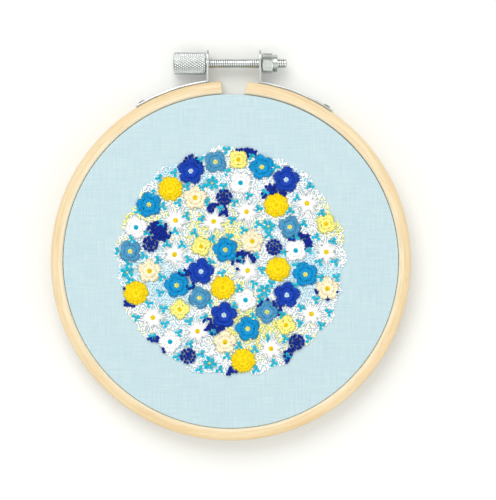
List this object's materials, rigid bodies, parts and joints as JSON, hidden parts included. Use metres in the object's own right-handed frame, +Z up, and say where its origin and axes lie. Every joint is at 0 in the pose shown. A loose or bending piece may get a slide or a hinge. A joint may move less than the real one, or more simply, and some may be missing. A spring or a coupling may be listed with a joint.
{
  "type": "hoop embroidery art with its bamboo embroidery hoop",
  "caption": "Round embroidery on pale blue cotton, stretched in a split bamboo hoop with a knurled tightening screw, nut and brackets at its top.",
  "frame": {"origin": "middle of the whole footprint, on the surface that the hoop lies on; the hoop's own middle is 4.7 mm toward -Y", "axes": "+Z up, out of the stitched face; +X along the tightening screw from its knob to its nut; +Y from the hoop's middle to the screw, which is up when the hoop hangs"},
  "size_m": [0.108, 0.1174, 0.0096],
  "materials": {
    "bamboo": "smooth, waxed bamboo",
    "cotton": "plain weave, stitched with stranded thread",
    "nickel": "bright nickel plate"
  },
  "bodies": {
    "root": {"outer_ring": "bamboo", "inner_ring": "bamboo", "cloth": "cotton", "bracket_left": "nickel", "bracket_right": "nickel", "brad_left": "nickel", "brad_right": "nickel"},
    "screw": {"screw": "nickel"},
    "nut": {"nut": "nickel"}
  },
  "joints": [
    {"name": "screw_turn", "type": "hinge", "parent": "root", "child": "screw", "pos_m": [0, 0.0547, 0.00425], "axis": [1, 0, 0], "continuous": true},
    {"name": "nut_turn", "type": "hinge", "parent": "root", "child": "nut", "pos_m": [0.011, 0.0547, 0.00425], "axis": [1, 0, 0], "continuous": true}
  ]
}
